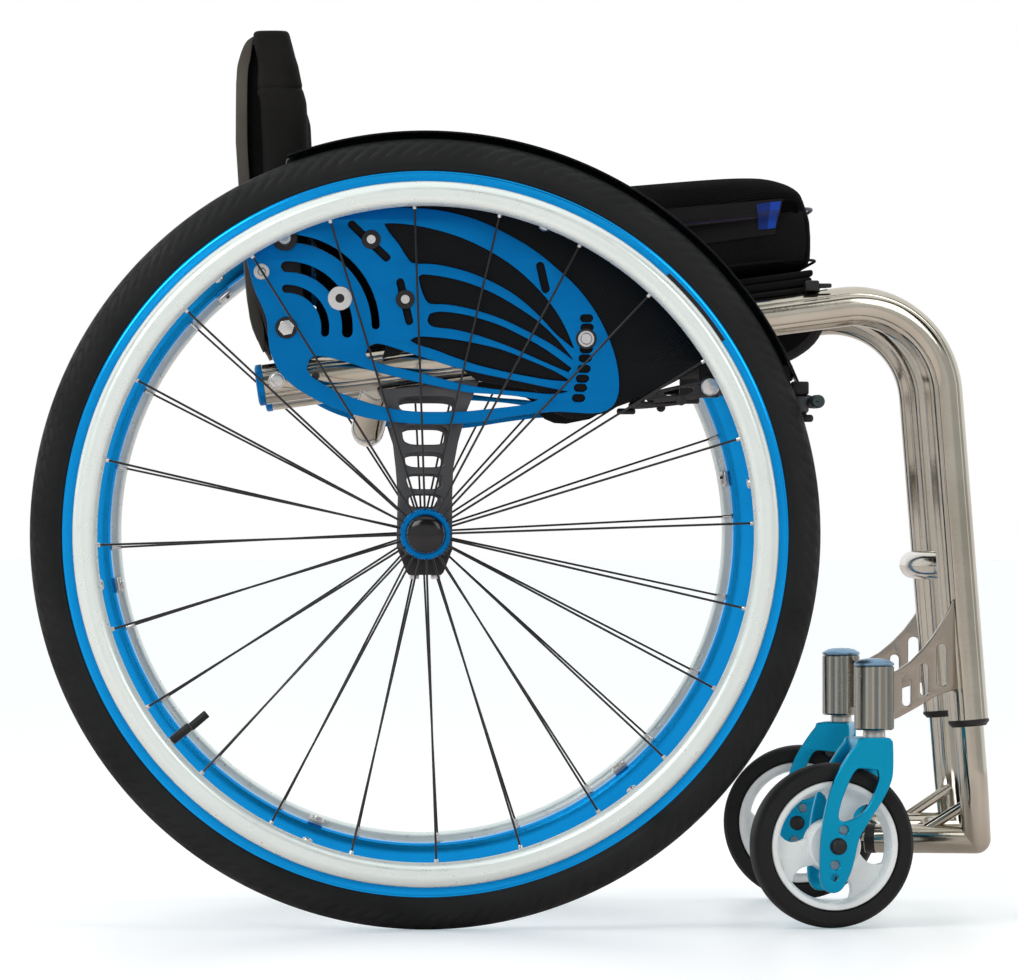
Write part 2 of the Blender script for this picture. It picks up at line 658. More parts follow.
def make_axle_clamp():
    """Black clamp block under the axle tube, just inside the bracket, with its two bolts."""
    y_out = -(BRACKET_Y - BRACKET_THICK / 2 - GAP)
    y_in = y_out + 0.018
    outer = arc((AXLE_X, WHEEL_RADIUS), CLAMP_RADIUS, 20, 160, 6)
    outer += [(AXLE_X - CLAMP_RADIUS, WHEEL_RADIUS - 0.010), (AXLE_X - 0.014, WHEEL_RADIUS - 0.030),
              (AXLE_X + 0.014, WHEEL_RADIUS - 0.030), (AXLE_X + CLAMP_RADIUS, WHEEL_RADIUS - 0.010)]
    bore = circle((AXLE_X, WHEEL_RADIUS), AXLE_TUBE_RADIUS + 2 * GAP, 14)
    clamp = slab("right_axle_clamp", outer, [bore], y_in, 0.018, BLACK)
    bolts = [rod("bolt", (AXLE_X + dx, (y_in + y_out) / 2, WHEEL_RADIUS - 0.029),
                 (AXLE_X + dx, (y_in + y_out) / 2, WHEEL_RADIUS - 0.034), 0.0035, steps=8)
             for dx in (-0.008, 0.008)]
    return combine(clamp, bolts)


for maker in (make_side_tube, make_rail_cap, make_sleeve_ring, make_axle_bracket, make_axle_clamp):
    both(maker())
make_shin_cross()
make_seat_cross()
make_axle_tube()


# Casters
WEB_THICK = 0.0080
STEM_RADIUS = 0.0080
STEM_CLEAR = 0.0004
CASTER_AXLE_RADIUS = 0.0040
CASTER_RIM_RADIUS = 0.0476
CASTER_HUB_RADIUS = 0.0200
WEB_COUNT = 3
WEB_TURN = 75                   # degrees, of the wheel's first web
CASTER_X = CASTER_STEM_X - CASTER_TRAIL
CASTER_Y = -CASTER_STEM_Y
CASTER_Z = CASTER_RADIUS


def make_caster_bracket():
    """Slotted plate from the lower tube out to the caster housing, with the housing at its end."""
    stem = Vector((CASTER_STEM_X, CASTER_Y))
    root = Vector((shin_x(0.200), -SHIN_Y))
    slope = (stem.y - root.y) / (stem.x - root.x)
    top = [(0.3370, 0.2490), (0.3235, 0.2270), (0.3080, 0.2070), (0.2780, 0.1890)]
    foot = [(0.2780, 0.1545), (0.2892, 0.1570), (0.3110, 0.1680), (0.3170, 0.1713), (0.3370, 0.1775)]
    slots = [straight_slot((0.2955, 0.1690), (0.2955, 0.1847), 0.0070),
             straight_slot((0.3098, 0.1765), (0.3098, 0.1940), 0.0068),
             straight_slot((0.3240, 0.1838), (0.3240, 0.2078), 0.0080)]
    web = slab("right_caster_bracket", top + foot, slots, WEB_THICK / 2, WEB_THICK, NICKEL)
    shear = Matrix(((1, 0, 0, 0), (slope, math.sqrt(1 + slope * slope), 0, root.y - slope * root.x),
                    (0, 0, 1, 0), (0, 0, 0, 1)))
    web.data.transform(shear)
    fit = RAIL_RADIUS + GAP
    tube_low = Vector((shin_x(0.14), -SHIN_Y, 0.14))
    tube_high = Vector((shin_x(0.27), -SHIN_Y, 0.27))
    bore = STEM_RADIUS + STEM_CLEAR
    housing = turned("housing", [(0, 0), (HOUSING_RADIUS, 0), (HOUSING_RADIUS, HOUSING_TOP_Z - HOUSING_FOOT_Z),
                                 (0, HOUSING_TOP_Z - HOUSING_FOOT_Z)],
                     (stem.x, stem.y, HOUSING_FOOT_Z), (0, 0, 1), 20)
    well = rod("well", (stem.x, stem.y, HOUSING_FOOT_Z - 0.02), (stem.x, stem.y, HOUSING_TOP_Z - 0.006),
               bore, steps=14)
    combine(web, [housing])
    return combine(web, [well, rod("seat", tube_low, tube_high, fit, steps=24)], "DIFFERENCE")


def make_housing_cap():
    profile = [(0, 0), (HOUSING_RADIUS, 0), (HOUSING_RADIUS, 0.0016), (HOUSING_RADIUS * 0.72, 0.0044),
               (0, 0.0055)]
    return turned("right_housing_cap", profile, (CASTER_STEM_X, CASTER_Y, HOUSING_TOP_Z + GAP), (0, 0, 1),
                  16, BLUE)


FORK_SIDE = [(0.0138, 0.1340), (0.0138, 0.1120), (0.0104, 0.0985), (-0.0065, 0.0680), (-0.0132, 0.0525),
             (-0.0219, 0.0266), (-0.0297, 0.0225), (-0.0372, 0.0258), (-0.0411, 0.0326), (-0.0416, 0.0508),
             (-0.0354, 0.0938), (-0.0248, 0.1160), (-0.0138, 0.1340)]
FORK_WINDOW = [(-0.0132, 0.1141), (0.0030, 0.1131), (0.0015, 0.1055), (-0.0087, 0.0863), (-0.0201, 0.0777),
               (-0.0249, 0.0758), (-0.0282, 0.0834), (-0.0249, 0.0938), (-0.0162, 0.1111)]
# place forward of the stem, height and radius
FORK_HOLES = ((-0.0243, 0.0670, 0.0033), (-0.0294, 0.0430, 0.0036), (-0.0300, 0.0330, 0.0029))


def make_fork():
    """One-piece fork: crown, two cranked legs with a long window in each, and the stem."""
    x, y = CASTER_STEM_X, CASTER_Y
    place = [(x + dx, z) for dx, z in FORK_SIDE]
    window = [(x + dx, z) for dx, z in FORK_WINDOW]
    holes = [circle((x + dx, z), radius, 6) for dx, z, radius in FORK_HOLES]
    axle_hole = circle((CASTER_X, CASTER_Z), CASTER_AXLE_RADIUS + GAP, 10)
    half = FORK_WIDTH / 2
    outer = slab("right_fork", place, [window, axle_hole] + holes, y - half + FORK_LEG, FORK_LEG, CYAN)
    inner = slab("inner_leg", place, [window, axle_hole] + holes, y + half, FORK_LEG)
    crown = block("crown", (x - 0.0150, y - half, FORK_CROWN_Z - 0.0140),
                  (x + 0.0140, y + half, FORK_CROWN_Z), round_by=0.0035)
    stem = rod("stem", (x, y, FORK_CROWN_Z - 0.003), (x, y, HOUSING_TOP_Z - 0.009), STEM_RADIUS, steps=14)
    return combine(outer, [crown, inner, stem])


def make_caster_axle():
    """Bolt through both legs and the caster wheel, with a round head and a nut."""
    half = FORK_WIDTH / 2
    profile = [(0, -half - 0.0030), (0.0068, -half - 0.0030), (0.0068, -half - GAP),
               (CASTER_AXLE_RADIUS, -half - GAP), (CASTER_AXLE_RADIUS, half + GAP), (0.0072, half + GAP),
               (0.0072, half + 0.0030), (0, half + 0.0030)]
    return turned("right_caster_bolt", profile, (CASTER_X, CASTER_Y, CASTER_Z), OUTWARD, 12, BLACK)


def make_caster_wheel():
    """Pressed wheel: hub, three webs and a rim, bored for the bolt."""
    centre = (CASTER_X, CASTER_Y, CASTER_Z)
    half = CASTER_WIDTH / 2
    rim_in = CASTER_RIM_RADIUS - 0.0066
    rim = turned("right_caster_wheel", [(rim_in, -0.010), (CASTER_RIM_RADIUS, -half * 0.78),
                                        (CASTER_RIM_RADIUS, half * 0.78), (rim_in, 0.010)],
                 centre, OUTWARD, CASTER_STEPS, WHITE)
    bore = CASTER_AXLE_RADIUS + BORE_CLEAR
    hub_half = FORK_WIDTH / 2 - FORK_LEG - 0.0008
    hub = turned("hub", [(bore, -hub_half), (0.0085, -hub_half), (0.0085, -0.0105), (CASTER_HUB_RADIUS, -0.0075),
                         (CASTER_HUB_RADIUS, 0.0075), (0.0085, 0.0105), (0.0085, hub_half), (bore, hub_half)],
                 centre, OUTWARD, 14)
    webs = []
    for index in range(WEB_COUNT):
        angle = WEB_TURN + index * 360 / WEB_COUNT
        inner, outer = CASTER_HUB_RADIUS - 0.003, rim_in + 0.002
        ring = arc((0, 0), outer, -17, 17, 3) + [(CASTER_HUB_RADIUS + 0.008, 0.0075)]
        ring += arc((0, 0), inner, 30, -30, 3) + [(CASTER_HUB_RADIUS + 0.008, -0.0075)]
        web = slab("web", ring, [], 0.004, 0.008)
        web.data.transform(Matrix.Translation(centre) @ Matrix.Rotation(-math.radians(angle), 4, "Y"))
        webs.append(web)
    return combine(rim, webs + [hub])


def make_caster_tyre():
    half = CASTER_WIDTH / 2
    seat = CASTER_RIM_RADIUS + GAP
    depth = CASTER_RADIUS - seat
    upper = [(seat, half * 0.72), (seat + depth * 0.35, half), (seat + depth * 0.78, half * 0.74)]
    profile = upper + [(CASTER_RADIUS, 0)] + [(r, -along) for r, along in reversed(upper)]
    return turned("right_caster_tyre", profile, (CASTER_X, CASTER_Y, CASTER_Z), OUTWARD, CASTER_STEPS, RUBBER)


def turn_caster(pieces, side):
    """Swing one caster about its stem, and hang its pieces on the stem's and the wheel's axes."""
    stem = Vector((CASTER_STEM_X, side * CASTER_STEM_Y, 0))
    yaw = Matrix.Rotation(-side * math.radians(CASTER_YAW), 4, "Z")
    swing = Matrix.Translation(stem) @ yaw @ Matrix.Translation(-stem)
    for piece in pieces.values():
        piece.data.transform(swing)
    word = "right" if side < 0 else "left"
    hub = swing @ Vector((CASTER_X, side * CASTER_STEM_Y, CASTER_Z))
    hang([pieces["fork"], pieces["bolt"]], word + "_caster_stem_axis", (*stem.xy, FORK_CROWN_Z))
    hang([pieces["wheel"], pieces["tyre"]], word + "_caster_wheel_axis", hub)


def make_casters():
    right = {"fork": make_fork(), "bolt": make_caster_axle(), "wheel": make_caster_wheel(),
             "tyre": make_caster_tyre()}
    left = {word: left_twin(piece) for word, piece in right.items()}
    turn_caster(right, -1)
    turn_caster(left, 1)


both(make_caster_bracket())
both(make_housing_cap())
make_casters()


# Side plates and guards
PIVOT = (PIVOT_X, PIVOT_Z)
PLATE_EDGE = [(-0.2009, 0.4988), (-0.1882, 0.4590), (-0.1784, 0.4253), (-0.1620, 0.4060), (-0.1310, 0.3865),
              (-0.1000, 0.3790), (-0.0668, 0.3772), (-0.0106, 0.3811), (0.0523, 0.3853), (0.0690, 0.3880),
              (0.0775, 0.3980), (0.0793, 0.4130), (0.0741, 0.4366), (0.0636, 0.4590), (0.0403, 0.4890),
              (0.0179, 0.5047), (-0.0121, 0.5200), (-0.0511, 0.5325), (-0.0855, 0.5395), (-0.1400, 0.5420),
              (-0.1800, 0.5340), (-0.1985, 0.5160)]
# the six feather-shaped windows, from the top down
FEATHERS = [
    [(-0.0975, 0.5272), (-0.0780, 0.4980), (-0.0398, 0.4901), (-0.0166, 0.4808), (0.0059, 0.4658),
     (0.0426, 0.4339), (0.0448, 0.4336), (0.0441, 0.4366), (0.0291, 0.4650), (0.0059, 0.4883),
     (-0.0166, 0.5047), (-0.0511, 0.5212)],
    [(-0.0698, 0.4890), (-0.0645, 0.4673), (-0.0398, 0.4635), (-0.0166, 0.4568), (0.0059, 0.4463),
     (0.0403, 0.4246), (0.0441, 0.4268), (0.0209, 0.4478), (0.0059, 0.4605), (-0.0211, 0.4778),
     (-0.0398, 0.4845)],
    [(-0.0645, 0.4561), (-0.0615, 0.4508), (-0.0316, 0.4463), (-0.0113, 0.4411), (0.0134, 0.4306),
     (0.0396, 0.4171), (0.0426, 0.4193), (0.0291, 0.4291), (0.0059, 0.4433), (-0.0166, 0.4534),
     (-0.0398, 0.4598), (-0.0593, 0.4613)],
    [(-0.0773, 0.4403), (-0.0623, 0.4321), (-0.0361, 0.4238), (-0.0113, 0.4171), (0.0119, 0.4118),
     (0.0381, 0.4081), (0.0418, 0.4096), (0.0291, 0.4178), (0.0059, 0.4268), (-0.0166, 0.4339),
     (-0.0398, 0.4388), (-0.0683, 0.4418)],
    [(-0.1110, 0.4321), (-0.1042, 0.4201), (-0.0855, 0.4163), (-0.0398, 0.4044), (0.0209, 0.3999),
     (0.0396, 0.4021), (0.0246, 0.4051), (-0.0054, 0.4096), (-0.0353, 0.4171), (-0.0623, 0.4238),
     (-0.0855, 0.4306), (-0.1057, 0.4373)],
    [(-0.1552, 0.4178), (-0.1410, 0.4051), (-0.1252, 0.3984), (-0.1005, 0.3909), (-0.0833, 0.3871),
     (-0.0488, 0.3864), (-0.0106, 0.3886), (0.0179, 0.3945), (-0.0106, 0.3996), (-0.0436, 0.4000),
     (-0.0750, 0.4062), (-0.1020, 0.4118), (-0.1200, 0.4180), (-0.1470, 0.4291)],
]
SMALL_ARC = 0.0292              # radius of each arc slot about the back's pivot
LOCK_ARC = 0.0458
GUIDE_ARC = 0.0670
FOLD_RANGE = 85                 # degrees
GUIDE_TURN = 91                 # degrees, of the guide bolt with the back upright
LOCK_TURN = 113.7
STOP_TURN = LOCK_TURN - FOLD_RANGE
SLOT_WIDTH = 0.0058
PIVOT_BOLT = 0.0040
UPPER_SLOT = ((-0.1219, 0.5272), (-0.0953, 0.5018))
LOWER_SLOT = ((-0.0855, 0.4845), (-0.0788, 0.4546))
FRONT_SLOT = ((0.0194, 0.4973), (0.0228, 0.4778))
OVAL_COUNT = 9
OVAL_TOP = (0.0547, 0.4568)
OVAL_PITCH = 0.0075
OVAL_HALF = 0.0015              # half its straight stretch
FRONT_BOLT = (0.0545, 0.4388)
FENDER_FRONT = 22               # degrees, in the side view
FENDER_REAR = 110
FENDER_WIDTH = 0.0340


def seen_at(angle, radius):
    return arc(PIVOT, radius, angle, angle, 1)[0]


def along(slot_ends, share):
    """Point at a share of the way from one end of a slot to the other."""
    (x0, z0), (x1, z1) = slot_ends
    return x0 + (x1 - x0) * share, z0 + (z1 - z0) * share


def bolt_head(place, y, head, washer):
    """Washer and hexagon head on the outer face at y. They point to the chair's right."""
    x, z = place
    disc = rod("washer", (x, y + 0.0004, z), (x, y - 0.0014, z), washer, steps=10)
    return combine(disc, [rod("head", (x, y, z), (x, y - 0.0042, z), head, steps=6)])


def make_side_plate():
    """Blue plate with feather windows, arc slots about the pivot and a row of oval holes."""
    holes = [list(reversed(feather)) for feather in FEATHERS]
    holes.append(arc_slot(PIVOT, SMALL_ARC, SLOT_WIDTH, -7.6, 90.5, 5))
    holes.append(arc_slot(PIVOT, LOCK_ARC, 0.0078, -4.5, 90, 6))
    holes.append(arc_slot(PIVOT, GUIDE_ARC, SLOT_WIDTH, 1.4, GUIDE_TURN + 1, 8))
    holes.append(circle(PIVOT, PIVOT_BOLT + GAP, 10))
    holes.append(circle(seen_at(LOCK_TURN, LOCK_ARC), 0.0030, 8))
    for slot_ends in (UPPER_SLOT, LOWER_SLOT, FRONT_SLOT):
        holes.append(straight_slot(*slot_ends, SLOT_WIDTH))
    for index in range(OVAL_COUNT):
        x = OVAL_TOP[0] - 0.0001 * index * index
        z = OVAL_TOP[1] - OVAL_PITCH * index
        holes.append(straight_slot((x - OVAL_HALF, z), (x + OVAL_HALF, z), SLOT_WIDTH))
    outer_face = -PLATE_Y - PLATE_THICK
    plate = slab("right_side_plate", PLATE_EDGE, holes, -PLATE_Y, PLATE_THICK, BLUE)
    heads = [bolt_head(along(UPPER_SLOT, 0.50), outer_face, 0.0037, 0.0070),
             bolt_head(along(LOWER_SLOT, 0.46), outer_face, 0.0037, 0.0070),
             bolt_head(FRONT_BOLT, outer_face, 0.0046, 0.0066),
             bolt_head(seen_at(STOP_TURN, LOCK_ARC), outer_face, 0.0055, 0.0091)]
    return combine(plate, heads)


def make_guard():
    """Carbon panel against the rail, with a fender that follows the tyre."""
    inner = WHEEL_RADIUS + FENDER_CLEAR
    outer = inner + GUARD_THICK
    hub = (AXLE_X, WHEEL_RADIUS)
    panel = arc(hub, outer, FENDER_FRONT, FENDER_REAR, 12)
    tip_x, tip_z = panel[0]
    panel += arc(PIVOT, GUIDE_ARC + 0.0085, 74, -18, 5)
    panel += [(-0.0600, 0.4060), (-0.0100, 0.3960), (0.0330, 0.3870), (0.0502, 0.3819), (0.0723, 0.3870),
              (0.1042, 0.4005)]
    panel += [(tip_x - 0.0705, tip_z + 0.0136), (tip_x - 0.0225, tip_z + 0.0102)]
    guard = slab("right_side_guard", panel, [], -GUARD_Y, GUARD_THICK, CARBON)
    fender = arc(hub, outer, FENDER_FRONT, FENDER_REAR, 12) + arc(hub, inner, FENDER_REAR, FENDER_FRONT, 12)
    flange = slab("fender", fender, [], -GUARD_Y - 0.0001, FENDER_WIDTH)
    return combine(guard, [flange])



def make_pivot_bolt():
    """Bolt that the back turns on, from the hinge plate out through the blue plate."""
    head = PLATE_Y + PLATE_THICK + GAP
    profile = [(0, HINGE_Y - 0.0020), (PIVOT_BOLT, HINGE_Y - 0.0020), (PIVOT_BOLT, head), (0.0082, head),
               (0.0082, head + 0.0015), (0.0060, head + 0.0015), (0.0060, head + 0.0050), (0, head + 0.0050)]
    return turned("right_pivot_bolt", profile, (PIVOT_X, 0, PIVOT_Z), OUTWARD, 12, STEEL)


# Back
HINGE_Y = CANE_Y + 0.0070       # inner face of the hinge plate
HINGE_THICK = 0.0065
CANE_TOP = Vector((-0.1820, 0, BACK_TOP_Z - 0.010))
CANE_FOOT = Vector((PIVOT_X, 0, PIVOT_Z))
SLEEVE_RADIUS = 0.0172
SLEEVE_FOOT_Z = 0.5290           # above the hinge plate
PANEL_THICK = 0.0050
FRONT_SAG = 0.010
REAR_FOOT_Z = 0.4320
REAR_TOP_DROP = 0.0045
# how far the rear cloth lies behind the posts' middle lines, from its foot up
REAR_DEPTHS = (0.0143, 0.0267, 0.0216, 0.0255, 0.0281, 0.0281, 0.0261, 0.0119)
REAR_BELLY = 0.0020             # more of it in the middle
HINGE_BAR_RADIUS = 0.0090


def cane_x(z):
    """Place of the back post's middle line along X at height z."""
    share = (z - CANE_FOOT.z) / (CANE_TOP.z - CANE_FOOT.z)
    return CANE_FOOT.x + (CANE_TOP.x - CANE_FOOT.x) * share


def make_back_post():
    """Post tube with its hinge plate, guide bolt and lock plunger."""
    low = CANE_FOOT.z - CANE_RADIUS
    cane = rod("right_back_frame", (cane_x(low), -CANE_Y, low), (CANE_TOP.x, -CANE_Y, CANE_TOP.z),
               CANE_RADIUS, GREY, 10)
    guide = seen_at(GUIDE_TURN, GUIDE_ARC)
    lock = seen_at(LOCK_TURN, LOCK_ARC)
    outline = arc(PIVOT, 0.0155, 185, 355, 5) + arc(guide, 0.0095, 0, 100, 3) + arc(lock, 0.0090, 110, 200, 3)
    plate = slab("hinge", outline, [], -HINGE_Y, HINGE_THICK)
    face = HINGE_Y + HINGE_THICK
    outside = PLATE_Y + PLATE_THICK
    x, z = guide
    stud = rod("stud", (x, -face + 0.001, z), (x, -outside - 0.002, z), SLOT_WIDTH / 2 - 0.0004, steps=10)
    washer = rod("washer", (x, -outside - 0.0006, z), (x, -outside - 0.0030, z), 0.0097, steps=14)
    head = rod("head", (x, -outside - 0.0020, z), (x, -outside - 0.0062, z), 0.0052, steps=6)
    x, z = lock
    plunger = rod("plunger", (x, -face + 0.001, z), (x, -PLATE_Y + 2 * GAP, z), 0.0026, steps=8)
    hole = rod("bolt_way", (PIVOT_X, -HINGE_Y + 0.0030, PIVOT_Z), (PIVOT_X, -face - 0.01, PIVOT_Z),
               PIVOT_BOLT + GAP, steps=12)
    combine(cane, [plate, stud, washer, head, plunger])
    return combine(cane, [hole], "DIFFERENCE")


def make_back_frame():
    """Both posts, and the bar that ties them on the hinge's own axis."""
    right = make_back_post()
    left = left_twin(right)
    bar = rod("bar", (PIVOT_X, -CANE_Y, PIVOT_Z), (PIVOT_X, CANE_Y, PIVOT_Z), HINGE_BAR_RADIUS, steps=10)
    combine(right, [bar, left])
    right.name = "back_frame"
    return right


def back_sheet(name, half, foot_z, top_z, depth, thick, look=None, columns=10, rows=6):
    """A cloth panel between the posts. depth(across, up) is how far it lies behind them, 0..1 up."""
    shape = bmesh.new()
    grid = []
    for row in range(rows + 1):
        up = row / rows
        z = foot_z + (top_z - foot_z) * up
        line = []
        for column in range(columns + 1):
            across = -1 + 2 * column / columns
            line.append(shape.verts.new((cane_x(z) - depth(across, up), across * half, z)))
        grid.append(line)
    for below, above in zip(grid, grid[1:]):
        for a, b, c, d in zip(below, below[1:], above[1:], above):
            shape.faces.new((a, b, c, d))
    sheet = from_bmesh(name, shape, look)
    skin = sheet.modifiers.new("skin", "SOLIDIFY")
    skin.thickness = thick
    skin.offset = 0
    return frozen(name, sheet, look)


def make_back_upholstery():
    """Sleeves over both posts and the taut panel between them, sewn as one."""
    top = BACK_TOP_Z
    sleeves = []
    for side in (-1, 1):
        stations = [SLEEVE_FOOT_Z + (top - SLEEVE_FOOT_Z) * share for share in (0, 0.28, 0.56, 0.84, 0.98, 1)]
        girth = [0.97, 1.0, 1.0, 0.90, 0.80, 0.60]
        forward = (0.0035, 0.0050, 0.0050, 0.0035, 0.0024, 0.0024)
        path = [(cane_x(z) + shift, side * CANE_Y, z) for z, shift in zip(stations, forward)]
        sleeves.append(tube("sleeve", path, SLEEVE_RADIUS, sides=2, radii=girth))
    panel = back_sheet("back_upholstery", CANE_Y, SLEEVE_FOOT_Z, top - 0.006,
                       lambda across, up: FRONT_SAG * (1 - across * across) - 0.004, PANEL_THICK, FABRIC)
    combine(panel, sleeves)
    bores = [rod("bore", (cane_x(0.44), side * CANE_Y, 0.44),
                 (CANE_TOP.x, side * CANE_Y, CANE_TOP.z + 2 * GAP), CANE_RADIUS + 2 * GAP, steps=10)
             for side in (-1, 1)]
    return combine(panel, bores, "DIFFERENCE")


def make_back_rear_panel():
    """Loose rear cloth, hung from the posts' tops and ending below the hinge."""
    rows = len(REAR_DEPTHS) - 1

    def depth(across, up):
        return REAR_DEPTHS[round(up * rows)] + REAR_BELLY * (1 - across ** 2) * math.sin(math.pi * up)
    return back_sheet("back_rear_panel", CANE_Y - 0.004, REAR_FOOT_Z, BACK_TOP_Z - REAR_TOP_DROP, depth, 0.0035,
                      BROWN, 8, rows)


# Seat
# the pouch's side view: place along X, and drop from the rails' top
POUCH_SECTION = [(0.0700, -0.0006), (0.0750, -0.0330), (0.1150, -0.0480), (0.1700, -0.0520),
                 (0.2150, -0.0470), (0.2330, -0.0320), (0.2385, -0.0006)]


def on_rails(x, lift):
    """Height of a point that stands lift above the top of the rails at x."""
    return rail_z(x) + RAIL_RADIUS / math.cos(RAIL_ANGLE) + lift


def sheet_on_rails(name, outline, low, high, look):
    """A flat sheet lying along the rails, with (x, half width) pairs for its outline."""
    edge = [(x, -half) for x, half in outline] + [(x, half) for x, half in reversed(outline)]
    line = bpy.data.curves.new(name, "CURVE")
    line.dimensions = "2D"
    line.fill_mode = "BOTH"
    line.extrude = (high - low) / 2
    run = line.splines.new("POLY")
    run.points.add(len(edge) - 1)
    for index, (x, y) in enumerate(edge):
        run.points[index].co = (x, y, 0.0, 1.0)
    run.use_cyclic_u = True
    thing = bpy.data.objects.new(name, line)
    PARTS.objects.link(thing)
    sheet = frozen(name, thing, look)
    lift = on_rails(0, (low + high) / 2)
    sheet.data.transform(Matrix(((1, 0, 0, 0), (0, 1, 0, 0), (RAIL_SLOPE, 0, 1, lift), (0, 0, 0, 1))))
    return sheet


def make_sling():
    edge = 0.004
    outline = [(x, rail_y(x) + edge) for x in (SEAT_REAR_X + 0.004, RAIL_BEND_X, SEAT_FRONT_X + 0.008)]
    outline[0] = (outline[0][0], CANE_Y - CANE_RADIUS - 0.004)
    outline.insert(1, (SEAT_REAR_X + 0.030, rail_y(0) + edge))
    return sheet_on_rails("seat_sling", outline, GAP, SLING_THICK, FABRIC)


def make_seat_pan():
    """Firm base layer under the cushion."""
    low = SLING_THICK + GAP
    outline = [(SEAT_REAR_X + 0.002, SEAT_HALF_WIDTH - 0.012), (SEAT_REAR_X + 0.012, SEAT_HALF_WIDTH - 0.004),
               (SEAT_FRONT_X - 0.020, SEAT_HALF_WIDTH - 0.004), (SEAT_FRONT_X - 0.004, SEAT_HALF_WIDTH - 0.016)]
    return sheet_on_rails("seat_pan", outline, low, low + PAN_THICK, BLACK)


def make_cushion():
    """Crowned cushion whose sides draw in between its corners."""
    low = SLING_THICK + PAN_THICK + 2 * GAP
    half_x = (SEAT_FRONT_X - SEAT_REAR_X) / 2
    middle = (SEAT_FRONT_X + SEAT_REAR_X) / 2
    shape = bmesh.new()
    bmesh.ops.create_cube(shape, size=2.0)
    bmesh.ops.subdivide_edges(shape, edges=shape.edges[:], cuts=5, use_grid_fill=True)
    for vert in shape.verts:
        u, v, w = vert.co
        crown = CUSHION_CROWN * (1 - u ** 4) * (1 - v ** 4) if w > 0 else 0.0
        draw_in = 1 - 0.030 * (1 - v * v) * u ** 6 - 0.020 * (1 - w * w)
        draw_in_y = 1 - 0.030 * (1 - u * u) * v ** 6 - 0.020 * (1 - w * w)
        edge = max(abs(u), abs(v)) ** 8
        corner = (abs(u) * abs(v)) ** 6 * 0.045
        tall = (CUSHION_REAR + CUSHION_FRONT) / 2 + (CUSHION_FRONT - CUSHION_REAR) / 2 * u
        height = (tall - CUSHION_CROWN) * (0.5 + 0.5 * w) + crown
        if w > 0:
            height -= 0.010 * edge * w
        else:
            height += 0.004 * edge * -w
        x = middle + u * half_x * (draw_in - corner)
        y = v * SEAT_HALF_WIDTH * (draw_in_y - corner)
        vert.co = (x, y, on_rails(x, low + height))
    return from_bmesh("seat_cushion", shape, FABRIC)



def make_pouch():
    """Half-round pouch hung under the front of the sling."""
    rim = [(x, on_rails(x, drop)) for x, drop in POUCH_SECTION]
    return slab("seat_pouch", rim, [], POUCH_HALF_WIDTH, 2 * POUCH_HALF_WIDTH, FABRIC)


# Brakes
BRAKE_X = 0.1468
BRAKE_Z = 0.4055
BRAKE_ARM_TURN = -8.3           # degrees below level, released
BRAKE_LEVER = 0.0430
BRAKE_LEVER_TURN = 188
BRAKE_PLATE = 0.0030
BRAKE_PIN = 0.0035
SHOE_RADIUS = 0.0050
SHOE_CLEAR = 0.0088              # from the tread, released
BRAKE_CLAMP_X = 0.1500
LEVER_Y = PLATE_Y + 0.0006
ARM_Y = LEVER_Y + BRAKE_PLATE + GAP


def arm_length():
    """Length of the arm that holds its shoe SHOE_CLEAR ahead of the tread."""
    hub_to_pin = Vector((BRAKE_X - AXLE_X, BRAKE_Z - WHEEL_RADIUS))
    turn = math.radians(BRAKE_ARM_TURN)
    along_arm = hub_to_pin.dot(Vector((math.cos(turn), math.sin(turn))))
    reach = WHEEL_RADIUS + SHOE_RADIUS + SHOE_CLEAR
    return math.sqrt(along_arm ** 2 + reach ** 2 - hub_to_pin.length_squared) - along_arm


BRAKE_ARM = arm_length()


def make_brake_clamp():
    """Saddle under the rail, a leg below it and the pin that lever and arm turn on."""
    here = Vector((BRAKE_CLAMP_X, -rail_y(BRAKE_CLAMP_X), rail_z(BRAKE_CLAMP_X)))
    ahead = Vector((BRAKE_CLAMP_X + 0.01, -rail_y(BRAKE_CLAMP_X + 0.01), rail_z(BRAKE_CLAMP_X + 0.01)))
    way = (ahead - here).normalized()
    ring = turned("right_brake_clamp", [(RAIL_RADIUS - 0.003, -0.008), (0.0195, -0.008), (0.0195, 0.008),
                                        (RAIL_RADIUS - 0.003, 0.008)], here, way, 16, BLACK)
    leg = block("leg", (BRAKE_X - 0.008, -0.2000, BRAKE_Z - 0.008), (BRAKE_X + 0.008, -0.1860, here.z - 0.013),
                round_by=0.002)
    boss = rod("boss", (BRAKE_X, -0.1900, BRAKE_Z), (BRAKE_X, -PLATE_Y, BRAKE_Z), 0.0080, steps=12)
    pin_end = ARM_Y + BRAKE_PLATE + 0.0030
    pin = rod("pin", (BRAKE_X, -0.2000, BRAKE_Z), (BRAKE_X, -pin_end, BRAKE_Z), BRAKE_PIN, steps=10)
    cap = rod("cap", (BRAKE_X, -pin_end + 0.0024, BRAKE_Z), (BRAKE_X, -pin_end - 0.001, BRAKE_Z), 0.0070, steps=12)
    combine(ring, [leg, boss, pin, cap])
    cut = rod("rail", here - way * 0.03, here + way * 0.03, RAIL_RADIUS + 2 * GAP, steps=16)
    open_top = block("open_top", here + Vector((-0.03, -0.03, 0.006)), here + Vector((0.03, 0.03, 0.04)))
    return combine(ring, [cut, open_top], "DIFFERENCE")


def bar_outline(centre, turn, length, wide, narrow):
    """A tapered link with round ends, from centre at an angle (degrees)."""
    far = (centre[0] + length * math.cos(math.radians(turn)), centre[1] + length * math.sin(math.radians(turn)))
    return arc(centre, wide, turn + 90, turn + 270, 5) + arc(far, narrow, turn - 90, turn + 90, 4)


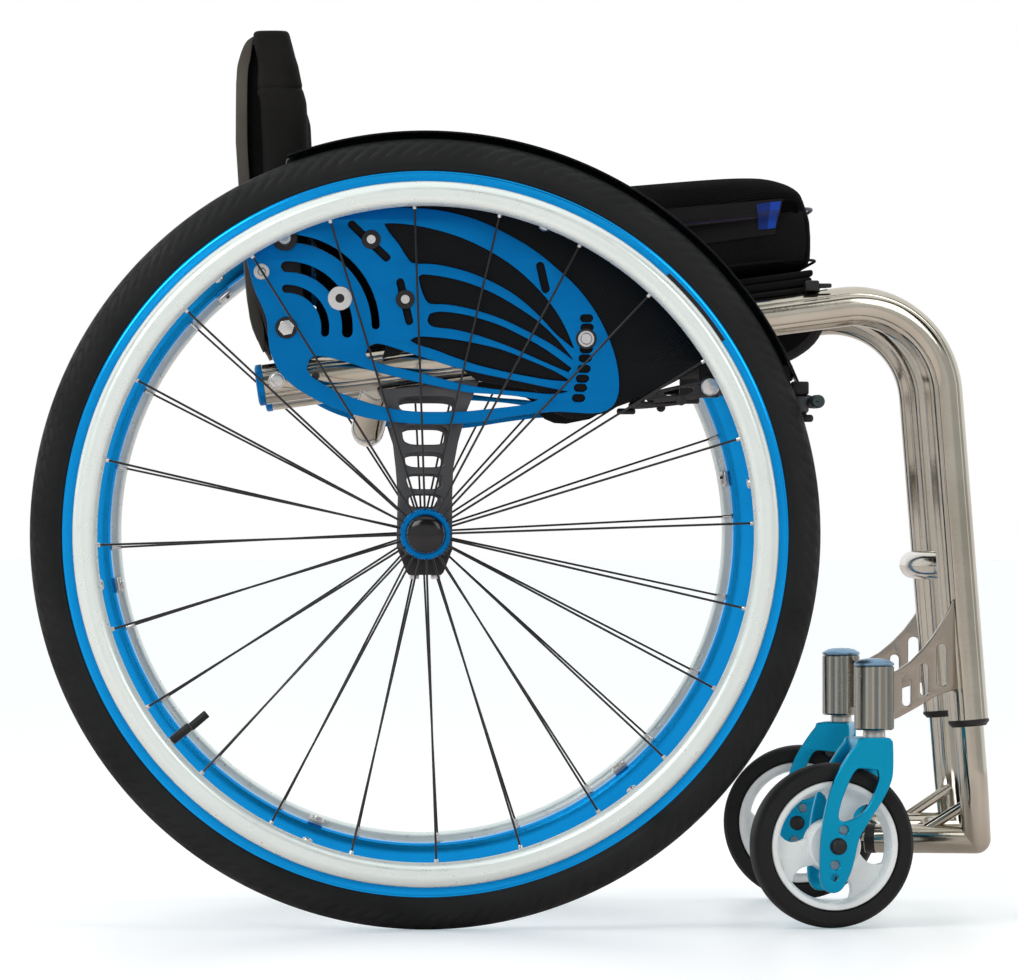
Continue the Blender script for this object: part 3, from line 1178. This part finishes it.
def make_brake_lever():
    hole = circle((BRAKE_X, BRAKE_Z), BRAKE_PIN + GAP, 10)
    edge = bar_outline((BRAKE_X, BRAKE_Z), BRAKE_LEVER_TURN, BRAKE_LEVER, 0.0085, 0.0050)
    lever = slab("right_brake_lever", edge, [hole], -LEVER_Y, BRAKE_PLATE, BLACK)
    tip = math.radians(BRAKE_LEVER_TURN)
    x, z = BRAKE_X + BRAKE_LEVER * math.cos(tip), BRAKE_Z + BRAKE_LEVER * math.sin(tip)
    knob = rod("knob", (x, -LEVER_Y - 0.001, z), (x, -LEVER_Y - 0.0100, z), 0.0045, steps=10)
    return combine(lever, [knob])


def make_brake_arm():
    """Arm that carries the rubbing shoe ahead of the tread."""
    hole = circle((BRAKE_X, BRAKE_Z), BRAKE_PIN + GAP, 10)
    edge = bar_outline((BRAKE_X, BRAKE_Z), BRAKE_ARM_TURN, BRAKE_ARM, 0.0085, 0.0055)
    arm = slab("right_brake_arm", edge, [hole], -ARM_Y, BRAKE_PLATE, GREY)
    turn = math.radians(BRAKE_ARM_TURN)
    x, z = BRAKE_X + BRAKE_ARM * math.cos(turn), BRAKE_Z + BRAKE_ARM * math.sin(turn)
    shoe = rod("shoe", (x, -ARM_Y - 0.001, z), (x, -WHEEL_Y - TYRE_WIDTH / 2, z), SHOE_RADIUS, steps=12)
    return combine(arm, [shoe])


# Footrest
STRUT_TOP_Z = 0.0930
STRUT_FOOT_X = 0.3040


def foot_arm_y(x):
    """Distance of the footrest's side arm from the chair's middle plane at x."""
    share = (x - FOOT_BACK_X) / (shin_x(FOOT_Z) - FOOT_BACK_X)
    return FOOT_BACK_Y + (FOOT_FRONT_Y - FOOT_BACK_Y) * share


def make_footrest():
    """Two tubes that slide in the frame, bent back into arms, with cross bars and struts."""
    foot = Vector((SHIN_FOOT_X, -SHIN_Y, SHIN_FOOT_Z))
    corner_x = shin_x(FOOT_Z)
    start = foot - SHIN_WAY * (FOOT_SOCKET - FOOT_TRAVEL_UP - 0.005)
    straight_end = foot + SHIN_WAY * (FOOT_TRAVEL_UP + 0.010)
    corner = (corner_x, -FOOT_FRONT_Y, FOOT_Z)
    tail = (FOOT_BACK_X, -FOOT_BACK_Y, FOOT_Z)
    path = rounded_path([start, straight_end, corner, tail], 0.020, 4)
    whole = tube("footrest", path, FOOT_TUBE_RADIUS, NICKEL, sides=1)
    mirrored = left_twin(whole)
    pieces = [mirrored]
    for x in (corner_x - 0.020, FOOT_BACK_X + 0.016):
        side = foot_arm_y(x)
        pieces.append(rod("bar", (x, -side, FOOT_Z), (x, side, FOOT_Z), 0.0080, steps=12))
    for side in (-1, 1):
        pieces.append(rod("strut", (shin_x(STRUT_TOP_Z), side * (FOOT_FRONT_Y + 0.005), STRUT_TOP_Z),
                          (STRUT_FOOT_X, side * foot_arm_y(STRUT_FOOT_X), FOOT_Z), 0.0040, steps=8))
    return combine(whole, pieces)


for maker in (make_side_plate, make_guard, make_pivot_bolt):
    both(maker())
back = [make_back_frame(), make_back_upholstery(), make_back_rear_panel()]
hang(back, "back_fold_axis", (PIVOT_X, 0, PIVOT_Z))
make_sling()
make_seat_pan()
make_cushion()
make_pouch()
both(make_brake_clamp())
for maker in (make_brake_lever, make_brake_arm):
    for side, piece in zip((-1, 1), both(maker())):
        hang([piece], piece.name + "_axis", (BRAKE_X, side * PLATE_Y, BRAKE_Z))
hang([make_footrest()], "footrest_slide", (SHIN_FOOT_X, 0, SHIN_FOOT_Z))
